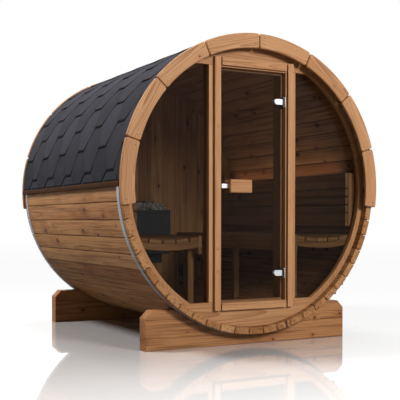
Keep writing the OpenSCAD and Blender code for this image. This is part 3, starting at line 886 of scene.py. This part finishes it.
def layHinges():
    look = hingeLook
    pin = np.array(frame["joints"][0]["pos_m"])
    plateLow, plateHigh = span("hinge_plates")
    bodyFront = span("door_hinges")[0][1]
    glassLow, glassHigh = span("door_glass")
    half = look["body"] / 2
    plateHalf = half + look["lug"]
    edge = plateHigh[0]
    inside = edge - look["plate"]
    knuckleRadius = look["knuckle"]
    before, behind = look["plateSpan"]
    plates, bodies, lugs, knuckles = pile(), pile(), pile(), pile()
    for z in (plateLow[2] + plateHalf, plateHigh[2] - plateHalf):
        plate = roundedBox((pin[1] - before, z - plateHalf), (pin[1] + behind, z + plateHalf), 0.002)
        lay(plates, board(plate, (inside, edge), 0.001), [yAxis, zAxis, xAxis])
        for low in (z - plateHalf, z + half + look["lugGap"]):
            nose = arc(pin[:2], knuckleRadius, math.pi / 2, 3 * math.pi / 2, 14)
            lug = np.concatenate([nose, [[inside, pin[1] - knuckleRadius],
                                         [inside, pin[1] + knuckleRadius]]])
            lay(lugs, board(lug, (low, low + look["lug"] - look["lugGap"]), look["ease"]),
                [xAxis, yAxis, zAxis])
        rod = arc(pin[:2], look["pin"], 0, 2 * math.pi * 11 / 12, 12)
        lay(lugs, board(rod, (z - plateHalf - 0.001, z + plateHalf), 0.0005), [xAxis, yAxis, zAxis])
        tipCentre = (pin[0] - look["reach"] + half, z)
        tip = arc(tipCentre, half, math.pi / 2, 3 * math.pi / 2, 20)
        root = pin[0] - look["bodyBack"]
        face = np.concatenate([tip, [[root, z - half], [root, z + half]]])
        upright(bodies, face, (bodyFront + look["bodyBack"], glassLow[1] - seat), look["bodyEase"])
        knuckle = arc(pin[:2], knuckleRadius, 0, 2 * math.pi * 23 / 24, 24)
        lay(knuckles, board(knuckle, (z - half, z + half), look["ease"]), [xAxis, yAxis, zAxis])
        back = arc(tipCentre, half - look["discIn"], 0, 2 * math.pi * 31 / 32, 32)
        upright(bodies, back, (glassHigh[1] + seat, glassHigh[1] + look["disc"]), look["discEase"])
    build("hingePlates", plates, satinMetal, "satin_metal", "hinge_plates")
    # lugs and pins here, and the door's knuckles below, are black steel as painted shade for the dark gap
    # between the satin plates and bodies
    build("hingeLugs", lugs, blackSteel, "black_steel")
    build("hingeBodies", bodies, satinMetal, "satin_metal", "door_hinges", body="door")
    build("hingeKnuckles", knuckles, blackSteel, "black_steel", body="door")


layHinges()


# Handle: a wooden grip on each side, held off the glass by metal blocks.
handleLook = {"stand": 0.02, "round": 0.006, "ease": 0.004, "blockIn": 0.01, "blockRound": 0.004,
              "blockEase": 0.0015}


def layHandle():
    look = handleLook
    low, high = span("door_handle")
    glassLow, glassHigh = span("door_glass")
    metalLow, metalHigh = span("handle_bracket")
    grips, metal = pile(), pile()
    grip = roundedBox((low[0], low[2]), (high[0], high[2]), look["round"])
    for ends in ((low[1], glassLow[1] - look["stand"]), (glassHigh[1] + look["stand"], high[1])):
        upright(grips, grip, ends, look["ease"])
    for x, ends in ((metalLow[0], (metalLow[1], glassLow[1] - seat)),
                    (low[0] + look["blockIn"], (glassHigh[1] + seat, metalHigh[1]))):
        block = roundedBox((x, metalLow[2]), (metalHigh[0], metalHigh[2]), look["blockRound"])
        upright(metal, block, ends, look["blockEase"])
    build("handleGrips", grips, trimFinish, "handle_wood", "door_handle", body="door")
    build("handleBracket", metal, satinMetal, "satin_metal", "handle_bracket", body="door")


layHandle()
print("door hung")


# Rear wall: upright tongue-and-groove boards inside the lining circle.
rearLook = {"board": 0.118, "groove": 0.005, "edge": 0.002, "least": 0.01}


def layRearWall():
    look = rearLook
    low, high = span("rear_wall")
    heap = pile()
    limit = liningRadius - look["edge"]
    for left in np.arange(-9, 9) * look["board"]:
        start, stop = max(left, -limit), min(left + look["board"], limit)
        if stop - start < look["least"]:
            continue
        x = np.linspace(start, stop, 9)
        rise = chordZ(liningRadius, x)
        outline = np.stack([np.append(x, x[::-1]), axisZ + np.append(-rise, rise[::-1])], -1)
        upright(heap, outline, (low[1], high[1]), look["groove"], grain=(1, 0, 2))
    build("rearWall", heap, innerFinish, "inner_wood", "rear_wall")


layRearWall()


ventLook = {"deep": 0.008, "bore": 0.8, "rim": ((0.82, 0.007), (0.95, 0.008), (1, 0.005), (1, 0)),
            "bed": 0.002, "slats": 4, "pitch": 0.17, "clear": 0.001, "slat": (0.0015, 0.0065),
            "halfSlat": 0.003, "round": 0.0012, "ease": 0.0005}


def layVent():
    # round flange with raised slats, inside and out
    look = ventLook
    low, high = span("vent")
    radius = (high[0] - low[0]) / 2
    x, _, z = (low + high) / 2
    bore = radius * look["bore"]
    profile = [(0.0005, look["bed"]), (bore, look["bed"]),
               *[(radius * out, rise) for out, rise in look["rim"]], (0.0005, 0)]
    heap = pile()
    for face, way in ((low[1] + look["deep"], -1), (high[1] - look["deep"], 1)):
        lay(heap, turned(profile, 48), [xAxis, zAxis, yAxis * way], (x, face, z))
        start, stop = sorted(face + way * depth for depth in look["slat"])
        for k in range(-look["slats"], look["slats"] + 1):
            up = k * radius * look["pitch"]
            half = math.sqrt(bore ** 2 - up ** 2) - look["clear"]
            along("x", heap, (x - half, start, z + up - look["halfSlat"]),
                  (x + half, stop, z + up + look["halfSlat"]), look["round"], look["ease"])
    build("vent", heap, ventPlastic, "vent_plastic", "vent")


layVent()
print("rear wall built")


# Benches: five slats on curved bearers, with a deep board along the aisle and square legs.
benchLook = {"dip": 0.025, "slat": 0.09, "gap": 0.009, "count": 5, "thick": 0.026,
             "bearer": (0.026, 0.045), "apron": (0.026, 0.123), "apronGap": 0.005, "leg": 0.045,
             "side": 0.0006, "end": 0.001, "round": 0.004, "ease": 0.003, "frameEase": 0.002}


def layBench(side, word):
    look = benchLook
    frameLow, frameHigh = span("bench_frame_" + word)
    slatLow, slatHigh = span("bench_slats_" + word)
    near = min(abs(frameLow[0]), abs(frameHigh[0]))     # the aisle's side
    far = max(abs(slatLow[0]), abs(slatHigh[0]))        # the barrel's side
    front, rear, top = slatLow[1], slatHigh[1], frameHigh[2]
    apron, apronHigh = look["apron"]
    half = (far - near) / 2
    middle = near + half
    # the seat is an arc through both edges of the bench, as far below them as its dip
    radius = (half ** 2 + look["dip"] ** 2) / (2 * look["dip"])
    centre = top - look["dip"] + radius
    slats = pile()
    for k in range(look["count"]):
        outer = far - look["side"] - k * (look["slat"] + look["gap"])
        inner = max(outer - look["slat"], near + apron + look["apronGap"])
        turn = math.asin(((outer + inner) / 2 - middle) / radius)
        out = np.array([side * math.sin(turn), 0, -math.cos(turn)])
        across = np.array([side * math.cos(turn), 0, math.sin(turn)])
        width = outer - inner
        slat = roundedBox((-width / 2, radius), (width / 2, radius + look["thick"]), look["round"])
        lay(slats, board(slat, (front, rear), look["ease"]), [across, out, yAxis],
            (side * middle, 0, centre), grain=(2, 0, 1))
    build("benchSlats" + word.title(), slats, innerFinish, "bench_wood", "bench_slats_" + word)

    body = pile()
    start, stop = sorted((side * near, side * (near + apron)))
    along("y", body, (start, front, top - apronHigh), (stop, rear, top), look["round"])
    under = math.hypot(radius + look["thick"], look["slat"] / 2) + seat     # the slats' lower corners

    def below(x, radius):  # height of the arc with this radius at x
        return centre - np.sqrt(radius ** 2 - (x - middle) ** 2)

    thick, deep = look["bearer"]
    x = np.linspace(near + apron + seat, middle + half * 1.05, 16)
    upper, lower = below(x, under), below(x, under + deep)
    ends = [[chordZ(liningRadius, axisZ - z) - look["end"], z] for z in (lower[-1], upper[-1])]
    bearer = np.concatenate([np.stack([x, lower], -1)[:-1], ends, np.stack([x, upper], -1)[-2::-1]])
    for y in (front, (front + rear) / 2, rear - thick):
        upright(body, bearer * (side, 1), (y, y + thick), look["frameEase"])
    x = np.linspace(near + apron + seat, near + apron + seat + look["leg"], 6)
    leg = np.concatenate([np.stack([x, axisZ - chordZ(liningRadius, x)], -1),
                          np.stack([x, below(x, under)], -1)[::-1]])
    for y in legPlaces:
        upright(body, leg * (side, 1), (y - look["leg"] / 2, y + look["leg"] / 2),
                look["frameEase"], grain=(1, 0, 2))
    build("benchFrame" + word.title(), body, innerFinish, "bench_wood", "bench_frame_" + word)


wallBack = span("head_panel")[1][1]
rearFace = wallLow[1]
legPlaces = (wallBack + 0.09, wallBack + 0.88, rearFace - 0.09)
for side, word in sides:
    layBench(side, word)


# Backrests: a wide board above and below, and three slats between.
restLook = {"heights": (0.11, 0.05, 0.05, 0.05, 0.095), "gap": 0.01, "round": 0.004, "ease": 0.003,
            "support": 0.04, "supportEase": 0.002}


def layBackrest(side, word):
    look = restLook
    low, high = span("backrest_boards_" + word)
    heap = pile()
    top = high[2]
    for height in look["heights"]:
        along("y", heap, (low[0], low[1], top - height), (high[0], high[1], top), look["round"], look["ease"])
        top -= height + look["gap"]
    build("backrest" + word.title(), heap, innerFinish, "bench_wood", "backrest_boards_" + word)
    low, high = span("backrest_supports_" + word)
    near = min(abs(low[0]), abs(high[0]))
    z = np.linspace(low[2], high[2], 12)
    wall = chordZ(liningRadius, z - axisZ)
    outline = np.concatenate([[[near, z[0]]], np.stack([wall, z], -1), [[near, z[-1]]]])
    heap = pile()
    for y in (low[1], (wallBack + rearFace) / 2, high[1] - look["support"]):
        upright(heap, outline * (side, 1), (y, y + look["support"]), look["supportEase"], grain=(1, 0, 2))
    build("backrestSupports" + word.title(), heap, innerFinish, "bench_wood",
          "backrest_supports_" + word)


for side, word in sides:
    layBackrest(side, word)
print("benches fitted")


# Heater: a folded steel case with a back plate, and a heap of stones.
heaterLook = {"rim": 0.012, "tray": 0.03, "stonesHigh": 0.06, "box": (0.148, 0.08), "boxFront": 0.3,
              "round": 0.006, "ease": 0.003, "cut": 0.07, "plateEase": 0.002, "stones": 150,
              "inset": 0.03, "bed": 0.025, "slope": 0.75, "heap": 0.055, "stone": (0.016, 0.027),
              "lump": 0.16, "waves": (1.5, 3.5), "stretch": (0.75, 1.15)}


def layHeater():
    look = heaterLook
    low, high = span("heater")
    brim = span("heater_stones")[1][2] - look["stonesHigh"]
    boxHalf, boxHigh = look["box"]
    caseLow, trayLow = low[2] + boxHigh, brim - look["tray"]
    half, front, back = high[0], low[1], high[1]
    wall = look["rim"]
    heap = pile()
    upright(heap, roundedBox((-half, caseLow), (half, trayLow), look["round"]),
            (front, back), look["ease"])
    upright(heap, roundedBox((-boxHalf, low[2]), (boxHalf, caseLow - 0.001), look["round"]),
            (front + (back - front) * look["boxFront"], back), look["ease"])
    for left, right, near, far in ((-half, -half + wall, front, back), (half - wall, half, front, back),
                                   (-half + wall, half - wall, front, front + wall)):
        along("x", heap, (left, near, trayLow), (right, far, brim), radius=0.002, ease=0.001)
    slope = half - look["cut"]      # the back plate's upper corners are cut off
    plate = np.array([[-half, trayLow], [half, trayLow], [half, brim], [slope, high[2]],
                      [-slope, high[2]], [-half, brim]])
    upright(heap, plate, (back - wall, back), look["plateEase"])
    build("heaterCase", heap, heaterSteel, "heater_steel", "heater")


def layStones():
    # each stone is a lumpy ball: a sphere grid whose radius is stretched by slow waves
    look = heaterLook
    low, high = span("heater_stones")
    turn, rise = np.meshgrid(np.linspace(0, 2 * math.pi, 14, endpoint=False), np.linspace(-1.45, 1.45, 8))
    ball = np.stack([np.cos(rise) * np.cos(turn), np.cos(rise) * np.sin(turn), np.sin(rise)], -1)
    heap = pile()
    for _ in range(look["stones"]):
        x = seeds.uniform(low[0] + look["inset"], high[0] - look["inset"])
        y = seeds.uniform(low[1] + look["inset"], high[1] - look["inset"])
        edge = min(x - low[0], high[0] - x, y - low[1])
        z = low[2] + look["bed"] + seeds.uniform(0, 1) * min(edge * look["slope"], look["heap"])
        size = seeds.uniform(*look["stone"])
        waves = 1 + look["lump"] * np.sin(ball @ seeds.uniform(*look["waves"], 3) + seeds.uniform(0, 6))
        points = ball * waves[..., None] * size * seeds.uniform(*look["stretch"], 3)
        lay(heap, tube(points), np.eye(3), (x, y, z))
    build("heaterStones", heap, stones, "stone", "heater_stones", sharp=180)


layHeater()
layStones()
print("heater fitted")


# Floor, light and camera.
stageLook = {"size": 60, "floor": colour(252, 251, 250), "bounce": colour(100, 97, 94),
             "mirror": 0.035, "gloss": 0.5, "near": -1.0, "far": -3.4, "sky": 1.0, "fill": 0.08}


def layFloor():
    # white to the camera, duller for the light that it throws back up at the barrel
    floor = Finish("studioFloor")
    path = floor.node("LightPath", output="Is Camera Ray")
    shade = floor.mix(path, stageLook["bounce"], stageLook["floor"])
    _, y, _ = floor.parts(floor.place())
    polish = y.between(stageLook["far"], stageLook["near"])
    floor.set(colour=shade, roughness=stageLook["mirror"], specular=stageLook["gloss"],
              coat=polish, coatRoughness=stageLook["mirror"])
    half = stageLook["size"] / 2
    corners = [(-half, -half, 0), (half, -half, 0), (half, half, 0), (-half, half, 0)]
    mesh = bpy.data.meshes.new("floor")
    mesh.from_pydata(corners, [], [(0, 1, 2, 3)])
    mesh.materials.append(floor.owner)
    piece = bpy.data.objects.new("floor", mesh)
    bpy.context.scene.collection.objects.link(piece)


def lightWorld():
    # plain white to the camera, to gloss and through glass; a softer fill for the rest
    studio = Finish("studio", "worlds")
    bpy.context.scene.world = studio.owner
    studio.tree.nodes.clear()
    rays = studio.node("LightPath").socket.node.outputs
    seen = Value(studio, rays["Is Camera Ray"])
    for ray in ("Is Glossy Ray", "Is Transmission Ray"):
        seen = seen.math("MAXIMUM", Value(studio, rays[ray]))
    fill, sky = [studio.node("Background", inputs={"Color": (1, 1, 1, 1), "Strength": stageLook[key]})
                 for key in ("fill", "sky")]
    output = studio.tree.nodes.new("ShaderNodeOutputWorld")
    studio.put(output.inputs["Surface"], studio.node("MixShader", inputs=[seen, fill, sky]))


def addLamp(name, place, target, size, power, width=None, tint=(1, 1, 1)):
    # a round soft box, or a strip where a width is given
    lamp = bpy.data.lights.new(name, "AREA")
    lamp.shape = "DISK" if width is None else "RECTANGLE"
    lamp.size, lamp.size_y = size, width or size
    lamp.energy, lamp.color = power, tint
    holder = bpy.data.objects.new(name, lamp)
    bpy.context.scene.collection.objects.link(holder)
    holder.location = place
    holder.rotation_euler = (Vector(target) - Vector(place)).to_track_quat("-Z", "Y").to_euler()


layFloor()
lightWorld()
lamps = (   # name, place, target, size, power, then a strip's width and its tint
    ("key", (1.3, -7.0, 3.4), (0, -0.9, 1.0), 1.8, 385),
    ("side", (-4.9, 2.0, 7.0), (0, 0, 1.0), 2.2, 640),
    ("top", (0.8, 0.6, 10.0), (0.8, 0, 0), 5.0, 430),
    ("cabin", (-0.05, -0.78, 1.3), (0.1, 0.8, 1.3), 0.3, 1.3),
    ("backrest", (0.9, 0.05, 1.2), (0.93, 0.05, 1.4), 1.5, 0.55, 0.01, (1, 0.68, 0.36)),
)
for lamp in lamps:
    addLamp(*lamp)

cameraLook = {"place": (-3.0842, -5.6977, 0.8533), "yaw": 0.4827, "pitch": -0.0221,
              "lens": 73.66, "sensor": 36, "shift": (0.0587, 0.0962)}   # angles in radians
camera = bpy.data.cameras.new("camera")
camera.lens = cameraLook["lens"]
camera.sensor_width = cameraLook["sensor"]
camera.shift_x, camera.shift_y = cameraLook["shift"]
view = bpy.data.objects.new("camera", camera)
bpy.context.scene.collection.objects.link(view)
view.location = cameraLook["place"]
view.rotation_euler = (math.pi / 2 + cameraLook["pitch"], 0, -cameraLook["yaw"])
bpy.context.scene.camera = view
bpy.context.scene.view_settings.view_transform = "Standard"
print("studio set")

bpy.context.view_layer.update()
